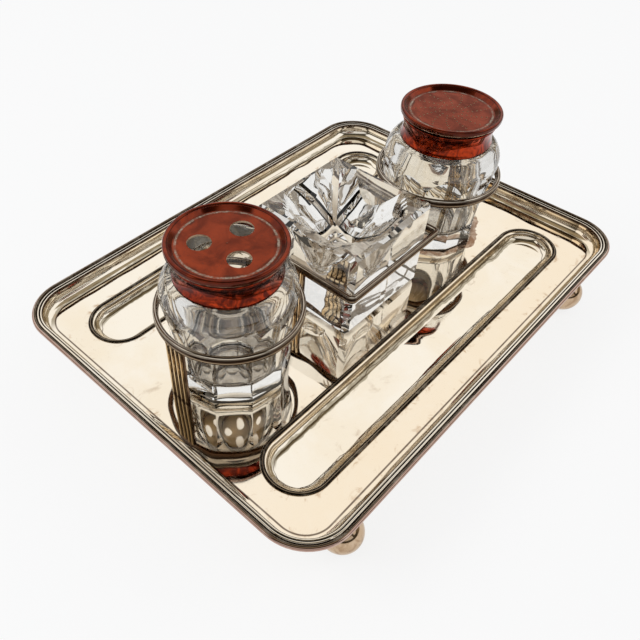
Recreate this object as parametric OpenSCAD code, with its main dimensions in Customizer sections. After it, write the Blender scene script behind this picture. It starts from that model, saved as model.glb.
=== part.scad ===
// Desk inkstand: a footed tray with two pen channels, a pen pot, an inkwell
// and a pounce pot, each standing loose in its own soldered holder.
// Millimetres, +Z up. The origin is on the table under the middle of the tray.

/* [Tray] */
// Length over the border
tray_length = 280; // [240:1:320]
// Width over the border
tray_width = 204.5; // [170:0.5:240]
// Corner radius over the border
tray_corner = 24.7; // [18:0.1:32]
// Height of the tray floor above the table
floor_height = 30; // [24:0.5:40]
// Thickness of the tray sheet
sheet = 1.2; // [0.8:0.1:2]
// Radius of the cove between floor and rim
cove_radius = 5.2; // [3:0.1:8]
// Height of the rim flange above the floor
rim_height = 6.2; // [4:0.1:10]
// Width of the rim flange, from the border's outer edge
rim_width = 5; // [4:0.1:8]

/* [Border] */
// Radius of the outer reed
outer_reed = 1.3; // [0.8:0.05:2]
// Radius of the middle reed
middle_reed = 0.8; // [0.5:0.05:1.5]
// Radius of the inner reed
inner_reed = 0.7; // [0.5:0.05:1.5]

/* [Pen channels] */
// Distance of each channel from the tray's middle line
channel_offset = 62.5; // [50:0.5:75]
// Length over the bead
channel_length = 238.4; // [180:0.2:250]
// Width over the bead
channel_width = 34.3; // [20:0.1:40]
// Width of the flat bottom
channel_flat = 18; // [8:0.1:24]
// Depth below the tray floor
channel_depth = 5; // [3:0.1:10]
// Radius of the bend from the bead into the channel
channel_lip = 1.8; // [1.5:0.1:3]
// Width of the raised bead round each channel
channel_bead = 2.4; // [1.6:0.1:3]
// Height of that bead above the tray floor
bead_height = 0.9; // [0.5:0.1:1.1]

/* [Feet] */
// Radius of the ball
foot_radius = 10.3; // [7:0.1:14]
// Distance of each foot from the tray's end
foot_end_inset = 34.7; // [26:0.1:45]
// Distance of each foot from the tray's side
foot_side_inset = 10.45; // [9:0.05:16]
// Radius of the seat's flanges
seat_radius = 5.5; // [4.5:0.1:6.5]
// Radius of the seat's waist
foot_neck = 3.9; // [3:0.1:4.3]

/* [Holders] */
// Distance of each pot from the tray's middle
pot_offset = 80.4; // [70:0.1:95]
// Place of the pen pot across the tray
pen_pot_y = 1.1; // [-8:0.1:8]
// Place of the pounce pot across the tray
pounce_pot_y = -5.3; // [-8:0.1:8]
// Place of the inkwell along the tray
inkwell_x = 1.1; // [-8:0.1:8]
// Place of the inkwell across the tray
inkwell_y = 0.9; // [-8:0.1:8]
// Radius of each reed in the rings and the frame
holder_reed = 1.25; // [0.8:0.05:2]
// Radius of a pot ring at its reed centres
ring_radius = 33.8; // [32:0.1:40]
// Height of the pot rings' middle above the floor
ring_height = 37.5; // [25:0.1:45]
// Half the side of the inkwell frame at its reed centres
frame_half = 35.8; // [33:0.1:42]
// Corner radius of the inkwell frame at its reed centres
frame_corner = 2; // [2:0.05:8]
// Height of the inkwell frame's middle above the floor
frame_height = 32.4; // [25:0.1:45]
// Width of a strut
strut_width = 11.5; // [6:0.1:16]
// Number of reeds on a strut
strut_reeds = 4; // [2:1:6]

/* [Pot glass] */
// Number of panels
panels = 10; // [8:1:12]
// Radius of the body
pot_radius = 31.6; // [26:0.1:34]
// Distance from the axis to a panel at the base
panel_base = 28; // [24:0.05:30]
// Radius of the wheel that cut the panels
wheel_radius = 150; // [120:5:600]
// Height of a panel's arched top
panel_top = 48.2; // [35:0.1:55]
// Height of the shoulder's start
shoulder_start = 48.6; // [35:0.1:55]
// Height of the shoulder's top, where the collar stands
shoulder_top = 58.9; // [45:0.1:65]
// Radius at the shoulder's top
shoulder_radius = 24; // [18:0.1:28]
// Radius of the hollow
hollow_radius = 25.3; // [20:0.1:27]
// Thickness of the base
pot_base = 8.5; // [4:0.1:14]
// Turn of the pen pot in its ring
pen_pot_turn = -133; // [-180:1:180]
// Turn of the pounce pot in its ring
pounce_pot_turn = -142; // [-180:1:180]

/* [Collars and covers] */
// Radius of the collar at its foot
collar_foot = 24.7; // [20:0.1:28]
// Radius of the collar at its waist
collar_waist = 24; // [20:0.1:28]
// Radius of the collar at its top reed
collar_top = 25.3; // [20:0.1:30]
// Height of the collar
collar_height = 12.3; // [8:0.1:20]
// Radius of the collar's mouth
mouth_radius = 21.9; // [16:0.1:23]
// Gap between the cover's plug and the collar's mouth
plug_gap = 0.3; // [0.1:0.05:0.6]
// Radius over the cover's bead
cover_radius = 26.9; // [22:0.1:32]
// Radius of the cover's bead
cover_bead = 1.15; // [0.8:0.05:2]
// Thickness of the cover discs
disc_thickness = 1; // [0.6:0.1:2]
// Radius of a quill hole
quill_hole = 5.33; // [3:0.01:7]
// Radius of the circle the quill holes stand on
quill_circle = 11.6; // [8:0.1:14]
// Radius of a pounce hole
pounce_hole = 0.5; // [0.3:0.05:1.2]
// Number of curved rows of pounce holes
pounce_rows = 13; // [6:1:18]

/* [Inkwell] */
// Half the side of the block
block_half = 32; // [24:0.1:34]
// Height of the block
block_height = 51.7; // [40:0.1:60]
// Width cut off each standing edge
block_edge_cut = 2.8; // [1:0.1:6]
// Width cut off each top edge
block_top_cut = 2.3; // [1:0.1:6]
// Width cut off each bottom edge
block_foot_cut = 3; // [1:0.1:6]
// Distance of the mouth's long sides from its middle
well_mouth = 28.3; // [20:0.1:29]
// Distance of the mouth's corner sides from its middle
well_corner = 30.5; // [22:0.1:32]
// Distance of the flats from the middle, halfway down
well_waist = 17; // [14:0.1:19]
// Depth of that waist
waist_depth = 20; // [16:0.1:24]
// Radius the well's round sides would have at the mouth
well_cone = 32.2; // [30:0.1:34]
// Radius of the round bottom that holds the last of the ink
sump_radius = 9; // [7:0.1:10]
// Depth of the well
well_depth = 35; // [30:0.5:40]
// Number of flutes in each corner of the well
well_flutes = 3; // [1:1:3]
// Radius of a flute at the mouth
well_flute = 2.1; // [1:0.1:2.6]
// Depth of the ground hollow under each glass
base_hollow = 0.4; // [0.2:0.1:1]

/* [Hidden] */
$fn = 96;
eps = 0.01;
far = 60;

silver = "#d8cdb4";
copper = "#9c4528";
glass = "#dfe8ea";
plaster = "#d9d4c8";

half_length = tray_length / 2;
half_width = tray_width / 2;
flange_edge = 1.2;

channel_half = channel_width / 2;
channel_run = channel_length / 2 - channel_half;
channel_bottom = channel_flat / 2;
channel_edge = channel_half - 0.75 * channel_bead;
channel_slope = 2 * atan(channel_depth / (channel_edge - channel_bottom));
channel_cove = (channel_edge - channel_bottom) / sin(channel_slope) - channel_lip;
bead_round = (channel_bead * channel_bead / 4 + bead_height * bead_height) / (2 * bead_height);

foot_x = half_length - foot_end_inset;
foot_y = half_width - foot_side_inset;
foot_flat = 0.3;
seat_flange = 1.6;
reed_shift = holder_reed - 0.05;
strut_pitch = strut_width / strut_reeds;
strut_bead = strut_pitch * 0.56;
strut_plate = 0.3;
strut_back = 0.9;
strut_lap = 0.5;

panel_rise = pot_radius - panel_base;
panel_chord = norm([panel_rise, panel_top]);
wheel_reach = sqrt(wheel_radius * wheel_radius - panel_chord * panel_chord / 4) / panel_chord;
wheel_centre = [panel_base + panel_rise / 2 + wheel_reach * panel_top,
    panel_top / 2 - wheel_reach * panel_rise];

neck_outer = 21.8;
neck_inner = 20.5;
neck_top = 67;
collar_bottom = shoulder_top;
collar_seat = collar_bottom + collar_height;
socket_radius = 22.9;
socket_top = neck_top + 0.4;
plug_radius = mouth_radius - plug_gap;
plug_depth = 3.2;
bead_low = collar_seat + 2.4;
bead_high = collar_seat + 3.4;
disc_radius = 22.9;
disc_top = collar_seat + 2.3;

// A disc sector that rounds the corner of a profile, from a to b round centre c.
module arc_fill(c, r, a, corner, b) {
    intersection() {
        translate(c) circle(r = r);
        polygon([a, corner, b]);
    }
}

// Sweeps a profile round a rectangle with round corners. The profile's x is
// measured outwards from the corner's centre.
module round_sweep(half_x, half_y, r) {
    for (s = [-1, 1]) {
        run_x = half_x - r;
        run_y = half_y - r;
        rotate([0, 0, s > 0 ? 0 : 180]) {
            translate([run_x, run_y, 0]) rotate([90, 0, 0])
                linear_extrude(height = 2 * run_y) children();
            translate([-run_x, run_y, 0]) rotate([90, 0, 90])
                linear_extrude(height = 2 * run_x) children();
            translate([run_x, run_y, 0]) rotate_extrude(angle = 90) children();
            translate([-run_x, run_y, 0]) rotate([0, 0, 90]) rotate_extrude(angle = 90) children();
        }
    }
}

// A flat plate with round corners, resting on z = 0.
module round_plate(half_x, half_y, r, h) {
    linear_extrude(height = h) union() {
        square([2 * half_x, 2 * (half_y - r)], center = true);
        square([2 * (half_x - r), 2 * half_y], center = true);
        for (x = [-1, 1]) for (y = [-1, 1])
            translate([x * (half_x - r), y * (half_y - r)]) circle(r = r);
    }
}

// Half of a channel's section. The skin is 0 for the hollow, which runs on up
// past the floor, and the sheet's thickness for the metal round it.
module channel_half_section(skin) {
    low = -channel_depth - skin;
    cove = channel_cove + skin;
    lip = channel_lip - skin;
    top = skin > 0 ? 0 : 1;
    t = [channel_bottom + cove * sin(channel_slope), low + cove * (1 - cos(channel_slope))];
    difference() {
        union() {
            polygon([[0, low], [channel_bottom, low], t, [channel_edge, -skin],
                [channel_edge, top], [0, top]]);
            arc_fill([channel_bottom, low + cove], cove, [channel_bottom, low], [t[0], low], t);
        }
        translate([channel_edge, -channel_lip]) circle(r = lip);
    }
}

// A channel's hollow or its metal, along X.
module channel_body(skin) {
    translate([-channel_run, 0, 0]) rotate([90, 0, 90]) linear_extrude(height = 2 * channel_run)
        union() {
            channel_half_section(skin);
            mirror([1, 0]) channel_half_section(skin);
        }
    for (x = [-1, 1]) translate([x * channel_run, 0, 0]) rotate_extrude() channel_half_section(skin);
}

module channel_bead_section() {
    middle = channel_half - channel_bead / 2;
    intersection() {
        translate([middle, bead_height - bead_round]) circle(r = bead_round);
        translate([middle - channel_bead, -sheet / 2])
            square([2 * channel_bead, sheet / 2 + bead_height + 1]);
    }
}

// The raised bead that runs round a channel.
module channel_bead_body() {
    translate([-channel_run, 0, 0]) rotate([90, 0, 90]) linear_extrude(height = 2 * channel_run)
        union() {
            channel_bead_section();
            mirror([1, 0]) channel_bead_section();
        }
    for (s = [-1, 1]) translate([s * channel_run, 0, 0]) rotate([0, 0, -90 * s])
        rotate_extrude(angle = 180) channel_bead_section();
}

// The coved wall with the flange it carries, filled in as far as inner.
// x runs outwards from the corner's centre.
module wall_block_section(inner) {
    foot = tray_corner - rim_width - cove_radius;
    outer = cove_radius + sheet;
    union() {
        arc_fill([foot, cove_radius], outer, [foot, -sheet], [foot + outer, -sheet],
            [foot + outer, cove_radius]);
        polygon(concat(inner < foot ? [[inner, -sheet]] : [], [[foot, -sheet], [foot + outer, cove_radius],
            [tray_corner - flange_edge, cove_radius - sheet / 6],
            [tray_corner - flange_edge, rim_height], [inner, rim_height]]));
    }
}

module wall_section() {
    foot = tray_corner - rim_width - cove_radius;
    difference() {
        wall_block_section(foot);
        arc_fill([foot, cove_radius], cove_radius, [foot, 0], [foot + cove_radius, 0],
            [foot + cove_radius, cove_radius]);
        polygon([[foot - 1, 0], [foot, 0], [foot + cove_radius, cove_radius],
            [foot + cove_radius, rim_height + 1], [foot - 1, rim_height + 1]]);
    }
}

module tray_metal() {
    inset = rim_width + cove_radius;
    for (y = [-1, 1]) translate([0, y * channel_offset, 0]) channel_bead_body();
    difference() {
        union() {
            translate([0, 0, -sheet])
                round_plate(half_length - inset, half_width - inset, tray_corner - inset, sheet);
            round_sweep(half_length, half_width, tray_corner) wall_section();
            for (y = [-1, 1]) translate([0, y * channel_offset, 0]) channel_body(sheet);
        }
        for (y = [-1, 1]) translate([0, y * channel_offset, 0]) channel_body(0);
    }
}

module tray() {
    color(silver) translate([0, 0, floor_height]) tray_metal();
}

module tray_border() {
    top = rim_height + outer_reed;
    color(silver) translate([0, 0, floor_height])
        round_sweep(half_length, half_width, tray_corner) union() {
            translate([tray_corner - outer_reed, top]) circle(r = outer_reed);
            translate([tray_corner - 3.35, top + 0.1]) circle(r = middle_reed);
            translate([tray_corner - 4.65, top - 0.15]) circle(r = inner_reed);
            translate([tray_corner - 4.65, rim_height]) square([4.65 - outer_reed, outer_reed - 0.15]);
        }
}

// A ball, with the small flat that its years on the table have worn on it.
module foot(x, y) {
    color(silver) translate([x * foot_x, y * foot_y, 0]) difference() {
        translate([0, 0, foot_radius - foot_flat]) sphere(r = foot_radius);
        translate([0, 0, -foot_radius]) cube(2 * foot_radius, center = true);
    }
}

module foot_front_left() { foot(-1, -1); }
module foot_front_right() { foot(1, -1); }
module foot_back_left() { foot(-1, 1); }
module foot_back_right() { foot(1, 1); }

// The turned neck between a ball and the tray, waisted between two flanges and
// cut to the ball below it and to the tray's underside above it.
module foot_seat(x, y) {
    middle = foot_radius - foot_flat;
    low = middle + foot_radius + 0.2;
    high = floor_height - sheet - seat_flange;
    sag = seat_radius - foot_neck;
    curve = ((high - low) * (high - low) / 4 + sag * sag) / (2 * sag);
    color(silver) difference() {
        translate([x * foot_x, y * foot_y, 0]) rotate_extrude() difference() {
            translate([0, middle + foot_radius / 2])
                square([seat_radius, floor_height + cove_radius / 2 - middle - foot_radius / 2]);
            translate([foot_neck + curve, (low + high) / 2]) circle(r = curve);
        }
        translate([x * foot_x, y * foot_y, middle]) sphere(r = foot_radius);
        translate([0, 0, floor_height])
            round_sweep(half_length, half_width, tray_corner) wall_block_section(0);
    }
}

module foot_seat_front_left() { foot_seat(-1, -1); }
module foot_seat_front_right() { foot_seat(1, -1); }
module foot_seat_back_left() { foot_seat(-1, 1); }
module foot_seat_back_right() { foot_seat(1, 1); }

// Two reeds, one on the other, with the solder web between them.
module reed_pair(x, z) {
    for (s = [-1, 1]) translate([x, z + s * reed_shift]) circle(r = holder_reed);
    translate([x - holder_reed / 2, z - holder_reed]) square([holder_reed, 2 * holder_reed]);
}

module pot_ring(x, y) {
    translate([x, y, floor_height]) rotate_extrude() reed_pair(ring_radius, ring_height);
}

module pen_pot_ring() {
    color(silver) pot_ring(-pot_offset, pen_pot_y);
}

module pounce_pot_ring() {
    color(silver) pot_ring(pot_offset, pounce_pot_y);
}

module inkwell_frame() {
    color(silver) translate([inkwell_x, inkwell_y, floor_height])
        round_sweep(frame_half, frame_half, frame_corner) reed_pair(frame_corner, frame_height);
}

// A reeded strap standing on the tray floor, lapping a little way up the reed
// it carries at the given height. Its back is at x = 0.
module strut(height) {
    linear_extrude(height = height - reed_shift - holder_reed + strut_lap) intersection() {
        union() {
            translate([0, -strut_width / 2]) square([strut_plate, strut_width]);
            for (i = [0:strut_reeds - 1])
                translate([strut_plate, strut_pitch * (i + 0.5) - strut_width / 2])
                    circle(r = strut_bead);
        }
        translate([0, -strut_width / 2]) square([4, strut_width]);
    }
}

module pot_strut(x, y, side) {
    color(silver) difference() {
        translate([x, y, floor_height]) mirror([side < 0 ? 1 : 0, 0, 0])
            translate([ring_radius - strut_back, 0, 0]) strut(ring_height);
        pot_ring(x, y);
    }
}

module pen_pot_strut_left() { pot_strut(-pot_offset, pen_pot_y, -1); }
module pen_pot_strut_right() { pot_strut(-pot_offset, pen_pot_y, 1); }
module pounce_pot_strut_left() { pot_strut(pot_offset, pounce_pot_y, -1); }
module pounce_pot_strut_right() { pot_strut(pot_offset, pounce_pot_y, 1); }

module inkwell_strut(side) {
    color(silver) difference() {
        translate([inkwell_x, inkwell_y, floor_height]) mirror([side < 0 ? 1 : 0, 0, 0])
            translate([frame_half - strut_back, 0, 0]) strut(frame_height);
        translate([inkwell_x + side * frame_half, inkwell_y, floor_height])
            rotate([90, 0, 0]) linear_extrude(height = 20, center = true)
                reed_pair(0, frame_height);
    }
}

module inkwell_strut_left() { inkwell_strut(-1); }
module inkwell_strut_right() { inkwell_strut(1); }

// A body's shoulder: two tangent arcs from the wall up to a smaller radius.
module shoulder_profile(wall, bottom, start, top, small, tip) {
    w = wall - small;
    h = top - start - tip;
    big = (w * w + h * h - tip * tip) / (2 * (w - tip));
    turn = atan2(h, small - wall + big);
    t = [wall - big + big * cos(turn), start + big * sin(turn)];
    union() {
        polygon([[0, bottom], [wall, bottom], [wall, start], t, [small, top], [0, top]]);
        arc_fill([wall - big, start], big, [wall, start], [wall, t[1]], t);
        arc_fill([small, top - tip], tip, t, [t[0], top], [small, top]);
    }
}

// One panel's cut: the rim of a big wheel, which runs out at the shoulder in an
// arch.
module panel_cut() {
    rotate([90, 0, 0]) linear_extrude(height = 2 * pot_radius, center = true)
        translate(wheel_centre) circle(r = wheel_radius, $fn = 240);
}

module pot_glass(x, y, turn) {
    floor_round = 4;
    translate([x, y, floor_height]) difference() {
        rotate_extrude() difference() {
            union() {
                shoulder_profile(pot_radius, 0, shoulder_start, shoulder_top, shoulder_radius, 5.5);
                translate([0, shoulder_top - 1]) square([neck_outer, neck_top - shoulder_top + 1]);
            }
            polygon([[28.9, 0], [40, 11.1], [40, -1], [28.9, -1]]);
        }
        for (i = [0:panels - 1]) rotate([0, 0, turn + i * 360 / panels]) panel_cut();
        translate([0, 0, -1]) cylinder(r = panel_base - 2, h = 1 + base_hollow);
        translate([0, 0, pot_base]) rotate_extrude() union() {
            difference() {
                shoulder_profile(hollow_radius, 0, shoulder_start - 2.3 - pot_base,
                    shoulder_top - 2.4 - pot_base, neck_inner, 3);
                translate([hollow_radius - floor_round, -eps]) square([floor_round + 1, floor_round + eps]);
            }
            intersection() {
                translate([hollow_radius - floor_round, floor_round]) circle(r = floor_round);
                translate([hollow_radius - floor_round - 1, 0]) square([floor_round + 2, floor_round + 1]);
            }
            translate([0, 20]) square([neck_inner, neck_top - pot_base - 19]);
        }
    }
}

module pen_pot_glass() {
    color(glass) pot_glass(-pot_offset, pen_pot_y, pen_pot_turn);
}

module pounce_pot_glass() {
    color(glass) pot_glass(pot_offset, pounce_pot_y, pounce_pot_turn);
}

// The plaster bed between the glass neck and the collar.
module pot_plaster(x, y) {
    color(plaster) translate([x, y, floor_height + collar_bottom]) difference() {
        cylinder(r = socket_radius, h = socket_top - collar_bottom);
        translate([0, 0, -1]) cylinder(r = neck_outer, h = neck_top - collar_bottom + 1);
        cylinder(r = mouth_radius, h = 20);
    }
}

module pen_pot_plaster() { pot_plaster(-pot_offset, pen_pot_y); }
module pounce_pot_plaster() { pot_plaster(pot_offset, pounce_pot_y); }

// A spool-shaped collar with a reed under its top edge.
module pot_collar(x, y) {
    low = collar_bottom;
    high = collar_seat;
    reed = 0.55;
    run = high - low - 3.2;
    sag = collar_top - 0.5 - collar_waist;
    curve = (run * run / 4 + sag * sag) / (2 * sag);
    color(copper) translate([x, y, floor_height]) rotate_extrude() difference() {
        union() {
            translate([mouth_radius, low]) square([collar_top - mouth_radius - 0.5, high - low]);
            translate([collar_foot - reed, low + reed]) circle(r = reed);
            translate([collar_top - reed, high - reed]) circle(r = reed);
            translate([collar_top - reed - 0.25, high - 3 * reed]) circle(r = reed);
        }
        translate([collar_waist + curve, low + 1.1 + run / 2]) circle(r = curve, $fn = 180);
        translate([0, low - 1]) square([socket_radius, socket_top - low + 1]);
    }
}

module pen_pot_collar() { pot_collar(-pot_offset, pen_pot_y); }
module pounce_pot_collar() { pot_collar(pot_offset, pounce_pot_y); }

// The lift-off cover's rim: a plug, a bead, and the rebate for the disc.
module cover_rim(x, y) {
    low = collar_seat;
    bead = cover_radius - cover_bead;
    edge = bead - cover_bead;
    color(copper) translate([x, y, floor_height]) rotate_extrude() difference() {
        union() {
            polygon([[plug_radius - 1, low - plug_depth], [plug_radius, low - plug_depth],
                [plug_radius, low], [edge - 0.3, low], [edge - 0.3, low + 1.5],
                [bead, bead_low], [bead, bead_high], [edge + 0.3, bead_high + 0.55],
                [edge - 0.15, bead_high + 0.55], [disc_radius, disc_top],
                [disc_radius, disc_top - disc_thickness],
                [plug_radius - 1, disc_top - disc_thickness]]);
            translate([bead, bead_low]) circle(r = cover_bead);
            translate([bead, bead_high]) circle(r = cover_bead);
            translate([edge, bead_low]) square([2 * cover_bead, bead_high - bead_low]);
        }
        translate([edge + 0.12, bead_high + 0.6]) circle(r = 0.2, $fn = 24);
    }
}

module pen_cover_rim() { cover_rim(-pot_offset, pen_pot_y); }
module pounce_cover_rim() { cover_rim(pot_offset, pounce_pot_y); }

module cover_disc(x, y) {
    color(copper) translate([x, y, floor_height + disc_top - disc_thickness])
        difference() {
            cylinder(r = disc_radius, h = disc_thickness);
            children();
        }
}

module pen_cover_disc() {
    cover_disc(-pot_offset, pen_pot_y) {
        for (i = [0:2]) rotate([0, 0, 12 + 120 * i]) translate([quill_circle, 0, -1])
            cylinder(r = quill_hole, h = disc_thickness + 2);
        translate([0, 0, disc_thickness - 0.3]) cylinder(r = 0.35, h = 1);
    }
}

// The sifting holes stand in short curved rows round three inner ones.
module pounce_cover_disc() {
    cover_disc(pot_offset, pounce_pot_y) {
        for (i = [0:pounce_rows - 1]) for (k = [0:5])
            rotate([0, 0, i * 360 / pounce_rows + 3 * k]) translate([6.2 + 2.5 * k, 0, -1])
                cylinder(r = pounce_hole, h = disc_thickness + 2, $fn = 24);
        for (i = [0:2]) rotate([0, 0, 120 * i]) translate([2.6, 0, -1])
            cylinder(r = pounce_hole, h = disc_thickness + 2, $fn = 24);
    }
}

// The half space inside one flat of the well, leaning in as it goes down.
module well_flat(mouth) {
    translate([mouth, 0, block_height]) rotate([0, atan2(mouth - well_waist, waist_depth), 0])
        translate([-2 * far, -far, -far]) cube(2 * far);
}

// The well: eight leaning flats run into a round cone, with flutes in the four
// corners and a round sump at the bottom.
module well() {
    slope = (well_cone - sump_radius) / (well_depth - sump_radius);
    down = well_depth - sump_radius / 2;
    flute_run = well_corner - well_flute - 0.4 * sump_radius;
    intersection() {
        translate([0, 0, block_height - down])
            cylinder(r1 = well_cone - slope * down, r2 = well_cone + slope, h = down + 1);
        well_flat(well_mouth);
        rotate([0, 0, 90]) well_flat(well_mouth);
        rotate([0, 0, 180]) well_flat(well_mouth);
        rotate([0, 0, 270]) well_flat(well_mouth);
        rotate([0, 0, 45]) well_flat(well_corner);
        rotate([0, 0, 135]) well_flat(well_corner);
        rotate([0, 0, 225]) well_flat(well_corner);
        rotate([0, 0, 315]) well_flat(well_corner);
    }
    for (i = [0:3]) for (k = [0:well_flutes - 1])
        rotate([0, 0, 45 + 90 * i + 6 * (k - (well_flutes - 1) / 2)])
            translate([0.4 * sump_radius, 0, block_height - well_depth + sump_radius])
                rotate([0, atan2(flute_run, well_depth - sump_radius), 0])
                    cylinder(r1 = 0.4, r2 = 1.1 * well_flute,
                        h = 1.1 * norm([flute_run, well_depth - sump_radius]));
    translate([0, 0, block_height - well_depth + sump_radius]) sphere(r = sump_radius);
}

// A heavy square block with every edge cut flat and a wide, tapering well.
module inkwell_glass() {
    bed = block_half - block_foot_cut - 2;
    color(glass) translate([inkwell_x, inkwell_y, floor_height]) difference() {
        translate([-block_half, -block_half, 0]) cube([2 * block_half, 2 * block_half, block_height]);
        for (i = [0:3]) rotate([0, 0, 90 * i]) {
            rotate([0, 0, 45]) translate([(2 * block_half - block_edge_cut) / sqrt(2), -far / 2, -1])
                cube([far, far, block_height + 2]);
            translate([block_half, 0, block_height - block_top_cut]) rotate([0, -45, 0])
                translate([0, -far, 0]) cube([20, 2 * far, 20]);
            translate([block_half, 0, block_foot_cut]) rotate([0, 45, 0])
                translate([0, -far, -20]) cube([20, 2 * far, 20]);
        }
        translate([-bed, -bed, -1]) cube([2 * bed, 2 * bed, 1 + base_hollow]);
        well();
    }
}

tray();
tray_border();
foot_front_left();
foot_front_right();
foot_back_left();
foot_back_right();
foot_seat_front_left();
foot_seat_front_right();
foot_seat_back_left();
foot_seat_back_right();
pen_pot_ring();
pen_pot_strut_left();
pen_pot_strut_right();
inkwell_frame();
inkwell_strut_left();
inkwell_strut_right();
pounce_pot_ring();
pounce_pot_strut_left();
pounce_pot_strut_right();
pen_pot_glass();
pen_pot_plaster();
pen_pot_collar();
pen_cover_rim();
pen_cover_disc();
pounce_pot_glass();
pounce_pot_plaster();
pounce_pot_collar();
pounce_cover_rim();
pounce_cover_disc();
inkwell_glass();
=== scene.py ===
import math

import bpy
from mathutils import Matrix, Vector


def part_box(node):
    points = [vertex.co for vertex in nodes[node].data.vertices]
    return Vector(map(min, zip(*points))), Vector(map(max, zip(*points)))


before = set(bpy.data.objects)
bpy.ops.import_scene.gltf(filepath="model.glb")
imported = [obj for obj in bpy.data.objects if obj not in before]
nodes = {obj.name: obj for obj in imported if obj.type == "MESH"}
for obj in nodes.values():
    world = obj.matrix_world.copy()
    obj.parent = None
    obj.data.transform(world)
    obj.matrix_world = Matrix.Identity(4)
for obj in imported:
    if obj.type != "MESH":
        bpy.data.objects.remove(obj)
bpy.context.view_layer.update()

# Places on the object, in metres, in the CAD model's frame. The lines of stain,
# painted shade and painted highlight follow these.
MM = 0.001
FLOOR = 0.030  # the tray floor above the table
TRAY_OUTLINE = (0.140, 0.10225, 0.0247)  # half length, half width, corner
CHANNEL_LINE = (0.0625, 0.10205)  # off the tray's middle line, half the straight run
# In from the tray's edge.
OUTER_FLANK = 0.0003  # of the outer reed
INNER_FLANK = 0.0019  # of the outer reed
REED_GROOVE = 0.0039  # between the middle reed and the inner one
REED_FOOT = 0.0052  # of the inner reed
COVE_SHADE = 0.0096
COVE_FOOT = 0.0102
COVE_STAIN = 0.0110
# Out from a channel's middle line.
CHANNEL_WALL = 0.0112  # part of the way up the channel's side
CHANNEL_LIP = 0.0137  # where the side bends over to the bead
BEAD_MIDDLE = 0.01595
BEAD_STAIN = 0.0175  # just outside the bead
# On the holders and the covers.
RING_HEIGHT = FLOOR + 0.0375  # where the two reeds of a pot's ring meet
FRAME_HEIGHT = FLOOR + 0.0324  # where the two reeds of the inkwell's frame meet
STRUT_PITCH = 0.002875  # from one reed of a strap to the next
SOLDER_RING = 0.0217  # out from a cover's middle
LIP_DROP = 0.0026  # the painted highlight line of a cover's rim, below its top
BROWN_RING_RADIUS = 0.0255  # out from the pounce pot's middle, before it is made ragged

# Colours, from the plate's to the painted shade in its deepest lines.
PLATE = (0.96, 0.885, 0.76)
WARM_PLATE = (0.93, 0.82, 0.65)
# Painted light for the underside of a cover's disc, dim inside the closed pot.
LIT_UNDERSIDE = (0.95, 0.75, 0.48)
YELLOWED = (0.94, 0.795, 0.60)
STRAP = (0.80, 0.62, 0.40)
FRECKLE = (0.62, 0.52, 0.40)
FOOT = (0.58, 0.42, 0.28)
FOOT_CLOUD = (0.42, 0.28, 0.17)
# A painted highlight, then a painted reflection of the pale ground.
HIGHLIGHT_TAN = (0.42, 0.32, 0.21)
REFLECTED_MAUVE = (0.48, 0.32, 0.26)
STAIN = (0.50, 0.30, 0.15)
OLD_STAIN = (0.40, 0.25, 0.14)
# Painted shade, on the channels' back walls and on the cove at the back and right.
SHADE_OLIVE = (0.30, 0.25, 0.16)
RING_BROWN = (0.26, 0.13, 0.065)
# Grime, with painted shade, for the plate's hollows and joins.
GRIME_AND_SHADE = (0.09, 0.05, 0.027)
BROWN = (0.075, 0.038, 0.020)
# Painted shade down the sides of a holder's reeds.
REED_SIDE_SHADE = (0.05, 0.026, 0.013)
BLACK = (0.012, 0.008, 0.006)
# The copper's: red and dark of each patina, then what lies on it.
DISC_RED, DISC_DARK = (0.31, 0.045, 0.012), (0.16, 0.024, 0.008)
RIM_RED, RIM_DARK = (0.26, 0.036, 0.010), (0.11, 0.016, 0.007)
COLLAR_RED, COLLAR_DARK = (0.44, 0.043, 0.008), (0.09, 0.009, 0.003)
SOLDER_PALE, SOLDER_DARK = (0.46, 0.38, 0.30), (0.24, 0.17, 0.12)
DISC_SPECK = (0.10, 0.032, 0.02)
DISC_FRINGE = (0.09, 0.022, 0.010)
# Bare metal in the bores, lightened as a painted highlight.
BORE = (0.80, 0.62, 0.45)
# Painted shade down a rim's flank, a painted highlight line round it, and painted shade beneath.
RIM_FLANK_SHADE = (0.05, 0.012, 0.006)
LIP_GLINT = (0.70, 0.52, 0.42)
UNDERSIDE_SHADE = (0.060, 0.030, 0.014)
# Grime, with painted shade, for the copper's hollows and joins.
RIM_GRIME_AND_SHADE = (0.03, 0.010, 0.007)
COLLAR_GRIME_AND_SHADE = (0.03, 0.010, 0.006)
# The glass's and the plaster's.
GLASS = (0.985, 0.99, 0.99)
PLASTER, DULL_PLASTER = (0.93, 0.91, 0.87), (0.80, 0.76, 0.69)


def middle(node):
    """The middle of a node's box."""
    low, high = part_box(node)
    return (low + high) / 2


# ---------------------------------------------------------------- node graphs

FLAT = (1, 1, 0)  # keeps x and y of a vector, and drops z
MIX_A, MIX_B, MIX_RESULT = 6, 7, 2  # the colour sockets of a Mix node


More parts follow.
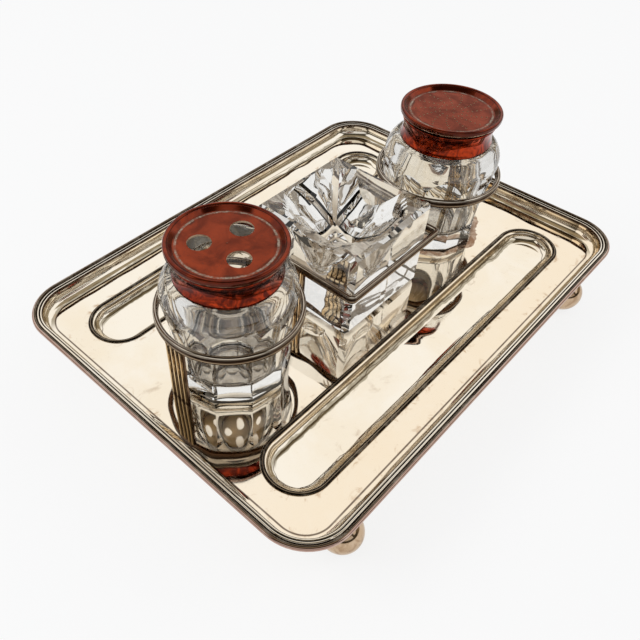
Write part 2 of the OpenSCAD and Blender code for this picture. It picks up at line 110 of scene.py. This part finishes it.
class Graph:
    """A node tree, with short names for the nodes used here."""

    def __init__(self, tree, coords):
        self.tree = tree
        self.coords = self.add("TexCoord").outputs[coords]

    def add(self, kind, **values):
        node = self.tree.nodes.new("ShaderNode" + kind)
        for key, value in values.items():
            setattr(node, key, value)
        return node

    def link(self, source, socket):
        """Feed a socket from a colour, a number or another socket."""
        if isinstance(source, tuple):
            socket.default_value = (*source, 1.0)
        elif isinstance(source, (int, float)):
            socket.default_value = source
        else:
            self.tree.links.new(source, socket)

    def noise(self, scale, detail, rough, warp=0.0):
        n = self.add("TexNoise")
        n.inputs["Scale"].default_value = scale
        n.inputs["Detail"].default_value = detail
        n.inputs["Roughness"].default_value = rough
        n.inputs["Distortion"].default_value = warp
        self.link(self.coords, n.inputs["Vector"])
        return n.outputs["Fac"]

    def spread(self, value, low, high, to_low=0.0, to_high=1.0):
        """A smooth step from to_low, where value is low, to to_high."""
        n = self.add("MapRange", interpolation_type="SMOOTHSTEP")
        self.link(value, n.inputs["Value"])
        limits = {"From Min": low, "From Max": high, "To Min": to_low, "To Max": to_high}
        for name, limit in limits.items():
            n.inputs[name].default_value = limit
        return n.outputs["Result"]

    def math(self, operation, a, b=0.0):
        n = self.add("Math", operation=operation)
        self.link(a, n.inputs[0])
        self.link(b, n.inputs[1])
        return n.outputs[0]

    def plus(self, a, b):
        return self.math("ADD", a, b)

    def minus(self, a, b):
        return self.math("SUBTRACT", a, b)

    def times(self, a, b):
        return self.math("MULTIPLY", a, b)

    def most(self, a, b):
        return self.math("MAXIMUM", a, b)

    def mix(self, share, a, b):
        """Colour a with a share of colour b over it."""
        n = self.add("Mix", data_type="RGBA")
        self.link(share, n.inputs["Factor"])
        self.link(a, n.inputs[MIX_A])
        self.link(b, n.inputs[MIX_B])
        return n.outputs[MIX_RESULT]

    def vector(self, operation, a, b=None):
        n = self.add("VectorMath", operation=operation)
        for value, socket in zip((a, b), n.inputs):
            if isinstance(value, tuple):
                socket.default_value = value
            elif value is not None:
                self.tree.links.new(value, socket)
        return n.outputs["Value" if operation in ("LENGTH", "DOT_PRODUCT") else 0]

    def split(self, vector):
        n = self.add("SeparateXYZ")
        self.link(vector, n.inputs[0])
        return n.outputs

    def axis(self, name):
        return self.split(self.coords)[name]

    def join(self, share, a, b):
        """Shader a with a share of shader b over it."""
        n = self.add("MixShader")
        for value, socket in zip((share, a, b), n.inputs):
            self.link(value, socket)
        return n.outputs[0]

    def glow(self, kind, color, strength=1.0):
        """A Background or Emission shader."""
        n = self.add(kind)
        self.link(color, n.inputs["Color"])
        n.inputs["Strength"].default_value = strength
        return n.outputs[0]

    def line(self, value, at, half, soft):
        """1 where value is within half of at, falling to 0 over soft beyond."""
        off = self.math("ABSOLUTE", self.minus(value, at))
        return self.spread(off, half, half + soft, 1.0, 0.0)

    def waver(self, value, noise, reach):
        """Value, moved either way by a noise."""
        return self.plus(value, self.times(self.minus(noise, 0.5), reach))


class Material(Graph):
    """A material, with the patterns that its colours follow."""

    SOCKETS = {"color": "Base Color", "rough": "Roughness", "metal": "Metallic",
               "glass": "Transmission Weight", "ior": "IOR", "coat": "Coat Weight",
               "coat_rough": "Coat Roughness", "specular": "Specular IOR Level"}

    def __init__(self, name):
        self.mat = bpy.data.materials.new(name)
        self.mat.use_nodes = True
        super().__init__(self.mat.node_tree, "Object")
        self.shader = self.tree.nodes["Principled BSDF"]

    def quarter(self):
        """The place on the tray, with its four quarters folded into one."""
        return self.vector("ABSOLUTE", self.vector("MULTIPLY", self.coords, FLAT))

    def from_edge(self, half_x, half_y, corner):
        """Depth in from the outline of a rectangle with round corners."""
        past = self.vector("SUBTRACT", self.quarter(), (half_x - corner, half_y - corner, 0))
        out = self.vector("LENGTH", self.vector("MAXIMUM", past, (0, 0, 0)))
        sides = self.split(past)
        within = self.math("MINIMUM", self.most(sides["X"], sides["Y"]), 0)
        return self.minus(self.minus(corner, out), within)

    def from_run(self, offset, run):
        """Distance from the middle line of a channel, on either side of the tray."""
        past = self.split(self.vector("SUBTRACT", self.quarter(), (run, 0, 0)))
        along = self.most(past["X"], 0)
        across = self.minus(past["Y"], offset)
        return self.math("SQRT", self.plus(self.times(along, along), self.times(across, across)))

    def radius(self, centre):
        """Distance from the upright line through centre."""
        away = self.vector("SUBTRACT", self.coords, (centre[0], centre[1], 0))
        return self.vector("LENGTH", self.vector("MULTIPLY", away, FLAT))

    def normal_z(self):
        return self.split(self.add("NewGeometry").outputs["Normal"])["Z"]

    def hollows(self, reach):
        """1 in a hollow or where pieces meet, 0 in the open."""
        n = self.add("AmbientOcclusion", samples=16)
        n.inputs["Distance"].default_value = reach
        return self.spread(n.outputs["AO"], 0.45, 0.95, 1.0, 0.0)

    def bump(self, height, strength, distance=0.0002):
        n = self.add("Bump")
        n.inputs["Strength"].default_value = strength
        n.inputs["Distance"].default_value = distance
        self.link(height, n.inputs["Height"])
        self.link(n.outputs["Normal"], self.shader.inputs["Normal"])

    def set(self, **values):
        for key, value in values.items():
            self.link(value, self.shader.inputs[self.SOCKETS[key]])


# ---------------------------------------------------------------- silver plate

def silver(name, marks, grime_and_shade_share=0.9, tarnish=0.5):
    """Worn silver plate: warm, brightly rubbed, with grime and painted shade in its hollows.

    marks(g) gives pairs of a place and its colour, each laid over the one before.
    """
    g = Material(name)
    broad = g.noise(22, 5, 0.6, 0.4)
    fine = g.noise(900, 3, 0.6)
    smear = g.noise(90, 4, 0.6, 1.2)
    plate = g.mix(g.spread(broad, 0.35, 0.7), PLATE, WARM_PLATE)
    plate = g.mix(g.spread(fine, 0.62, 0.8, 0.0, 0.15), plate, FRECKLE)
    stain = g.times(g.spread(smear, 0.56, 0.72), g.spread(broad, 0.52, 0.66))
    plate = g.mix(g.times(stain, tarnish), plate, OLD_STAIN)
    worn = g.spread(smear, 0.3, 0.55, 0.85, 1.0)
    for place, color in marks(g):
        plate = g.mix(g.times(place, worn), plate, color)
    # Grime, and painted shade, where the plate lies in a hollow or where pieces meet.
    grime_and_shade = g.times(g.hollows(0.003), g.spread(smear, 0.3, 0.6, 0.6, 1.0))
    plate = g.mix(g.times(grime_and_shade, grime_and_shade_share), plate, GRIME_AND_SHADE)
    rough = g.plus(g.spread(smear, 0.3, 0.75, 0.02, 0.06), g.times(stain, 0.15))
    rough = g.plus(rough, g.spread(g.normal_z(), 0.90, 0.99, 0.05, 0.0))
    g.set(metal=1.0, color=plate, rough=rough)
    g.bump(g.noise(30, 1, 0.4, 0.6), 1.0, 0.0006)
    return g.mat


def tray_marks(g):
    """Painted shade along the cove, the channels and their beads, a painted highlight down each
    bead, stains, and a ragged brown ring.
    """
    depth = g.from_edge(*TRAY_OUTLINE)
    run = g.from_run(*CHANNEL_LINE)
    cloud = g.noise(150, 4, 0.65, 1.0)
    ragged_run = g.waver(run, g.noise(55, 3, 0.6), 0.007)
    round_bead = g.line(run, BEAD_STAIN, 0.0006, 0.0022)
    round_bead = g.times(round_bead, g.spread(cloud, 0.5, 0.68, 0.0, 0.7))
    round_cove = g.line(depth, COVE_STAIN, 0.0006, 0.0030)
    round_cove = g.times(round_cove, g.spread(cloud, 0.52, 0.7, 0.0, 0.6))
    y = g.axis("Y")
    front = g.spread(y, -0.10, 0.02, 0.85, 0.0)
    yellowed = g.times(front, g.spread(run, CHANNEL_LIP - 0.0007, CHANNEL_LIP + 0.0001))
    # The back wall of each channel, and the cove along the back and the right, are shaded.
    beyond = g.times(g.math("SIGN", y), g.minus(g.math("ABSOLUTE", y), CHANNEL_LINE[0]))
    channel_back = g.spread(beyond, 0.006, 0.0095, 0.0, 0.8)
    channel_shade = g.times(g.line(ragged_run, CHANNEL_WALL, 0.0010, 0.0006), channel_back)
    back_or_right = g.most(g.spread(y, 0.080, 0.088), g.spread(g.axis("X"), 0.118, 0.126))
    ragged_depth = g.waver(depth, g.noise(70, 3, 0.6), 0.005)
    cove_shade = g.line(ragged_depth, COVE_SHADE, 0.0010, 0.0004)
    cove_shade = g.times(cove_shade, g.times(back_or_right, 0.8))
    # A ragged brown ring round the pounce pot.
    out = g.minus(g.radius(middle("pounce_pot_glass")), g.times(g.noise(90, 3, 0.6), 0.009))
    brown_ring = g.line(out, BROWN_RING_RADIUS, 0.0022, 0.0006)
    brown_ring = g.times(brown_ring, g.spread(cloud, 0.3, 0.6, 0.5, 0.95))
    return ((yellowed, YELLOWED),
            (channel_shade, SHADE_OLIVE),
            (cove_shade, SHADE_OLIVE),
            (brown_ring, RING_BROWN),
            (round_bead, STAIN),
            (round_cove, STAIN),
            # Painted shade at the cove's foot, up each channel's wall and at its lip, a painted
            # dark reflection over each bead, and a painted highlight line down its middle.
            (g.times(g.line(depth, COVE_FOOT, 0.00025, 0.0003), 0.85), BROWN),
            (g.times(g.line(ragged_run, CHANNEL_WALL, 0.0001, 0.0003), 0.7), BROWN),
            (g.times(g.line(run, CHANNEL_LIP, 0.0001, 0.0002), 0.7), BROWN),
            (g.line(run, BEAD_MIDDLE, 0.0010, 0.0002), BLACK),
            (g.times(g.line(run, BEAD_MIDDLE, 0.0001, 0.0002), 0.45), HIGHLIGHT_TAN))


def border_marks(g):
    """Painted shade and a painted reflection of the pale ground on the outer reed's flanks, a
    painted highlight line, and painted shade at the feet of the other two.
    """
    depth = g.from_edge(*TRAY_OUTLINE)
    return ((g.line(depth, OUTER_FLANK, 0.0007, 0.0003), REFLECTED_MAUVE),
            (g.line(depth, INNER_FLANK, 0.0006, 0.0002), BLACK),
            (g.times(g.line(depth, INNER_FLANK - 0.0001, 0.0001, 0.0001), 0.5), HIGHLIGHT_TAN),
            (g.line(depth, REED_GROOVE, 0.0003, 0.0002), BLACK),
            (g.line(depth, REED_FOOT, 0.0002, 0.0002), BROWN))


def holder_marks(height):
    """Painted shade down the sides, over the lower reed and in the groove of two reeds that lie
    on each other at this height, with painted highlight lines.
    """
    def marks(g):
        z = g.axis("Z")
        return ((g.spread(g.normal_z(), 0.35, 0.80, 0.9, 0.0), REED_SIDE_SHADE),
                (g.line(z, height - 0.0007, 0.0017, 0.0002), BROWN),
                (g.line(z, height + 0.0003, 0.0005, 0.0002), BLACK),
                (g.times(g.line(z, height - 0.0009, 0.0002, 0.0002), 0.7), HIGHLIGHT_TAN),
                (g.line(z, height + 0.0023, 0.0001, 0.0001), BROWN))
    return marks


def strut_marks(middle_y):
    """Lines between a strap's four reeds and along its edges."""
    def marks(g):
        off = g.math("ABSOLUTE", g.minus(g.axis("Y"), middle_y))
        return ((1.0, STRAP),
                (g.line(off, 0, 0.0003, 0.0002), BLACK),
                (g.line(off, STRUT_PITCH, 0.0003, 0.0002), BLACK),
                (g.line(off, 2 * STRUT_PITCH, 0.0003, 0.0003), BROWN))
    return marks


def foot_marks(g):
    """Browned all over, clouded and pitted."""
    cloud = g.noise(160, 4, 0.6, 0.8)
    pits = g.noise(1300, 2, 0.5)
    return ((1.0, FOOT),
            (g.spread(cloud, 0.42, 0.66), FOOT_CLOUD),
            (g.spread(pits, 0.66, 0.74, 0.0, 0.8), BLACK))


# ---------------------------------------------------------------- copper

def copper_disc(name, centre):
    """A brown-red patina, speckled, inside a ring of grey solder."""
    g = Material(name)
    cloud = g.noise(75, 6, 0.62, 0.6)
    speck = g.noise(1100, 2, 0.5)
    dirt = g.noise(240, 4, 0.7)
    skin = g.mix(g.spread(cloud, 0.32, 0.7), DISC_RED, DISC_DARK)
    skin = g.mix(g.spread(speck, 0.6, 0.74, 0.0, 0.5), skin, DISC_SPECK)
    away = g.waver(g.radius(centre), dirt, 0.0008)
    fringe = g.line(away, SOLDER_RING, 0.0011, 0.0008)
    fringe = g.times(fringe, g.spread(dirt, 0.45, 0.62, 0.1, 0.85))
    skin = g.mix(fringe, skin, DISC_FRINGE)
    solder = g.line(away, SOLDER_RING, 0.0003, 0.0004)
    solder = g.times(solder, g.spread(dirt, 0.34, 0.62, 0.15, 0.9))
    skin = g.mix(solder, skin, g.mix(g.spread(speck, 0.4, 0.6), SOLDER_PALE, SOLDER_DARK))
    # The bores' walls and the disc's edge: bare metal, lightened as a painted highlight.
    bored = g.spread(g.math("ABSOLUTE", g.normal_z()), 0.4, 0.7, 1.0, 0.0)
    skin = g.mix(bored, skin, BORE)
    # Painted light on the disc's underside, which is dim inside the closed pot.
    beneath = g.spread(g.normal_z(), -0.8, -0.6, 1.0, 0.0)
    skin = g.mix(beneath, skin, LIT_UNDERSIDE)
    g.set(metal=0.75, color=skin, rough=g.spread(cloud, 0.3, 0.7, 0.3, 0.45), specular=0.25)
    g.bump(g.noise(650, 4, 0.6), 0.12)
    return g.mat


def copper_rim(name, lip):
    """Painted shade down its flank and beneath, with a painted highlight line round it."""
    g = Material(name)
    cloud = g.noise(80, 6, 0.62, 0.8)
    skin = g.mix(g.spread(cloud, 0.35, 0.68), RIM_RED, RIM_DARK)
    flank_shade = g.spread(g.normal_z(), 0.0, 0.7, 0.75, 0.0)
    skin = g.mix(flank_shade, skin, RIM_FLANK_SHADE)
    # A painted highlight line round the rim, below its top.
    lip_glint = g.line(g.axis("Z"), lip, 0.0002, 0.0002)
    lip_glint = g.times(lip_glint, g.spread(cloud, 0.42, 0.56, 0.2, 1.0))
    skin = g.mix(lip_glint, skin, LIP_GLINT)
    beneath = g.spread(g.normal_z(), -0.85, -0.7, 1.0, 0.0)
    skin = g.mix(beneath, skin, UNDERSIDE_SHADE)
    # Grime, and painted shade, in hollows and where pieces meet.
    skin = g.mix(g.times(g.hollows(0.002), 0.8), skin, RIM_GRIME_AND_SHADE)
    rough = g.spread(cloud, 0.3, 0.7, 0.12, 0.2)
    g.set(metal=1.0, color=skin, rough=rough, coat=0.2, coat_rough=0.05)
    g.bump(g.noise(420, 4, 0.6), 0.08)
    return g.mat


def copper_collar(name):
    """A bright red patina with dark clouds."""
    g = Material(name)
    cloud = g.noise(110, 6, 0.7, 1.5)
    skin = g.mix(g.spread(cloud, 0.34, 0.60), COLLAR_RED, COLLAR_DARK)
    # Grime, and painted shade, in hollows and where pieces meet.
    skin = g.mix(g.times(g.hollows(0.002), 0.8), skin, COLLAR_GRIME_AND_SHADE)
    rough = g.spread(cloud, 0.3, 0.7, 0.08, 0.16)
    g.set(metal=1.0, color=skin, rough=rough, coat=0.12, coat_rough=0.04)
    g.bump(g.noise(300, 4, 0.6), 0.1)
    return g.mat


# ---------------------------------------------------------------- glass and plaster

def cut_glass(name, wave):
    """Old lead glass: clear, slightly waved, with fine rubs."""
    g = Material(name)
    rub = g.noise(500, 3, 0.6)
    g.set(glass=1.0, ior=1.54, color=GLASS, rough=g.spread(rub, 0.66, 0.82, 0.0, 0.03))
    g.bump(g.noise(40, 0, 0.5, 0.6), 1.0, wave)
    return g.mat


def plaster(name):
    """White cement, dulled and grained."""
    g = Material(name)
    grain = g.noise(700, 4, 0.6)
    g.set(color=g.mix(g.spread(grain, 0.35, 0.7), PLASTER, DULL_PLASTER), rough=0.9)
    g.bump(grain, 0.4)
    return g.mat


# ---------------------------------------------------------------- dressing

def dress(material, *names):
    """Give the named nodes this material alone."""
    for name in names:
        data = nodes[name].data
        data.materials.clear()
        data.materials.append(material)


dress(silver("tray_plate", tray_marks, grime_and_shade_share=0.55, tarnish=0.4), "tray")
dress(silver("border_plate", border_marks), "tray_border")
dress(silver("ring_plate", holder_marks(RING_HEIGHT)), "pen_pot_ring", "pounce_pot_ring")
dress(silver("frame_plate", holder_marks(FRAME_HEIGHT)), "inkwell_frame")
for holder in ("pen_pot", "inkwell", "pounce_pot"):
    struts = [holder + "_strut_left", holder + "_strut_right"]
    dress(silver(holder + "_strap", strut_marks(middle(struts[0]).y)), *struts)
dress(silver("foot_plate", foot_marks), *(name for name in nodes if "foot" in name))
dress(cut_glass("pot_glass", wave=0.0002), "pen_pot_glass", "pounce_pot_glass")
dress(cut_glass("block_glass", wave=0.0006), "inkwell_glass")
dress(plaster("set_plaster"), "pen_pot_plaster", "pounce_pot_plaster")
dress(copper_collar("copper_collar"), "pen_pot_collar", "pounce_pot_collar")
for pot in ("pen", "pounce"):
    rim, disc = pot + "_cover_rim", pot + "_cover_disc"
    dress(copper_rim(pot + "_rim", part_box(rim)[1].z - LIP_DROP), rim)
    dress(copper_disc(pot + "_disc", middle(disc)), disc)


# ---------------------------------------------------------------- world

WHITE = (1, 1, 1)
# The room that metal and glass have round them: a wall of light beyond the
# inkstand, a tall white screen at either hand, a lower, greyer one behind the
# viewer, and dim everywhere else, down to the table.
AWAY, ACROSS = (0.730, 0.684, 0), (0.684, -0.730, 0)
DIM, TABLE = (0.30, 0.25, 0.17), (0.75, 0.72, 0.68)
# Softer for what has been through glass, which would otherwise look black.
THROUGH_LIT, THROUGH_DIM = (0.88, 0.87, 0.85), (0.42, 0.36, 0.29)
# The even light that falls on the object.
SKY, SKY_STRENGTH = (0.97, 0.98, 1.0), 0.66


def studio():
    """Even light on the object, the room in its reflections, and white behind it."""
    world = bpy.data.worlds.new("studio")
    bpy.context.scene.world = world
    world.use_nodes = True
    world.node_tree.nodes.clear()
    g = Graph(world.node_tree, "Generated")
    height = g.axis("Z")
    ahead = g.vector("DOT_PRODUCT", g.coords, AWAY)
    side = g.math("ABSOLUTE", g.vector("DOT_PRODUCT", g.coords, ACROSS))
    wall = g.times(g.spread(ahead, 0.28, 0.44), g.spread(height, 0.28, 0.42))
    screen = g.times(g.line(side, 0.76, 0.14, 0.04), g.spread(ahead, -0.55, -0.40))
    screen = g.times(screen, g.spread(height, 0.24, 0.32))
    behind = g.times(g.line(ahead, -0.80, 0.15, 0.07), g.spread(height, 0.16, 0.24, 0.0, 0.7))
    lit = g.most(g.most(wall, screen), behind)
    table = g.spread(height, 0.0, 0.05, 1.0, 0.0)
    rays = g.add("LightPath").outputs
    mirrored = rays["Is Glossy Ray"]
    been_through = g.times(g.math("MINIMUM", rays["Transmission Depth"], 1),
                           g.most(mirrored, rays["Is Transmission Ray"]))
    shader = g.glow("Background", SKY, SKY_STRENGTH)
    for ray, dim, bright, darkest in ((mirrored, DIM, WHITE, 0.2),
                                      (been_through, THROUGH_DIM, THROUGH_LIT, 0.7)):
        near = g.spread(ahead, -0.35, 0.05, darkest, 1.0)
        room = g.mix(lit, g.mix(near, (0, 0, 0), dim), bright)
        shader = g.join(ray, shader, g.glow("Background", g.mix(table, room, TABLE)))
    shader = g.join(rays["Is Camera Ray"], shader, g.glow("Background", WHITE))
    g.link(shader, g.add("OutputWorld").inputs["Surface"])


# ---------------------------------------------------------------- floor

GROUND_SIZE, GROUND_DROP = 40, 0.0002
GROUND = (0.86, 0.86, 0.86)
GROUND_GLOW = 0.8  # its share of plain white, the rest being matt and taking the shadow
GROUND_THROUGH_GLASS = (0.76, 0.75, 0.73)


def ground_material():
    """Pale and matt, near white to the camera and in reflections."""
    mat = bpy.data.materials.new("ground")
    mat.use_nodes = True
    mat.node_tree.nodes.clear()
    g = Graph(mat.node_tree, "Object")
    rays = g.add("LightPath").outputs
    through = rays["Is Transmission Ray"]
    glowing = g.times(g.most(rays["Is Camera Ray"], rays["Is Glossy Ray"]), GROUND_GLOW)
    bright = g.mix(through, WHITE, GROUND_THROUGH_GLASS)
    matt = g.add("BsdfDiffuse")
    g.link(GROUND, matt.inputs["Color"])
    shader = g.join(g.most(glowing, through), matt.outputs[0], g.glow("Emission", bright))
    g.link(shader, g.add("OutputMaterial").inputs["Surface"])
    return mat


studio()
bpy.ops.mesh.primitive_plane_add(size=GROUND_SIZE, location=(0, 0, -GROUND_DROP))
ground = bpy.context.object
ground.name = "ground"
ground.data.materials.append(ground_material())


# ---------------------------------------------------------------- lamps

LAMP_AIM = (0, 0, 0.05)


def lamp(name, place, size, power):
    """A square lamp that lights the object, but isn't mirrored in it or seen through it."""
    data = bpy.data.lights.new(name, "AREA")
    data.size = size
    data.energy = power
    obj = bpy.data.objects.new(name, data)
    bpy.context.scene.collection.objects.link(obj)
    obj.location = place
    obj.rotation_euler = (Vector(LAMP_AIM) - Vector(place)).to_track_quat("-Z", "Y").to_euler()
    obj.visible_transmission = False
    obj.visible_glossy = False


lamp("key", (-1.0, 0.8, 1.1), 0.8, 8)
lamp("fill", (0.9, -0.8, 0.8), 0.6, 3)


# ---------------------------------------------------------------- camera

# The photograph's view: azimuth, elevation and roll, then the camera's place from
# the middle of the tray floor, along its own right, up and back, and then its
# focal length and optical axis in pixels.
AZ, EL, ROLL = (math.radians(v) for v in (-46.868, 47.668, -0.631))
TURNED = Vector((-39.888, -33.024, 362.037)) * MM
FOCAL_PX, CENTRE_PX = 644.95, (264.77, 339.88)
FRAME_PX = 640
SENSOR = 36


def photo_camera():
    """A camera at the photograph's view, shifted as the photograph is cropped."""
    back = Vector((math.sin(AZ) * math.cos(EL), -math.cos(AZ) * math.cos(EL), math.sin(EL)))
    right = Vector((math.cos(AZ), math.sin(AZ), 0))
    up = back.cross(right)
    turn = Matrix.Rotation(ROLL, 3, "Z") @ Matrix((right, up, back))
    place = turn.transposed() @ TURNED + Vector((0, 0, FLOOR))
    data = bpy.data.cameras.new("camera")
    data.sensor_width = SENSOR
    data.lens = SENSOR * FOCAL_PX / FRAME_PX
    data.shift_x = (FRAME_PX / 2 - CENTRE_PX[0]) / FRAME_PX
    data.shift_y = (CENTRE_PX[1] - FRAME_PX / 2) / FRAME_PX
    data.clip_start = 0.01
    camera = bpy.data.objects.new("camera", data)
    bpy.context.scene.collection.objects.link(camera)
    camera.matrix_world = Matrix.Translation(place) @ turn.transposed().to_4x4()
    return camera


scene = bpy.context.scene
scene.camera = photo_camera()
scene.view_settings.view_transform = "Standard"
scene.cycles.max_bounces = 24
scene.cycles.glossy_bounces = 12
scene.cycles.transmission_bounces = 20
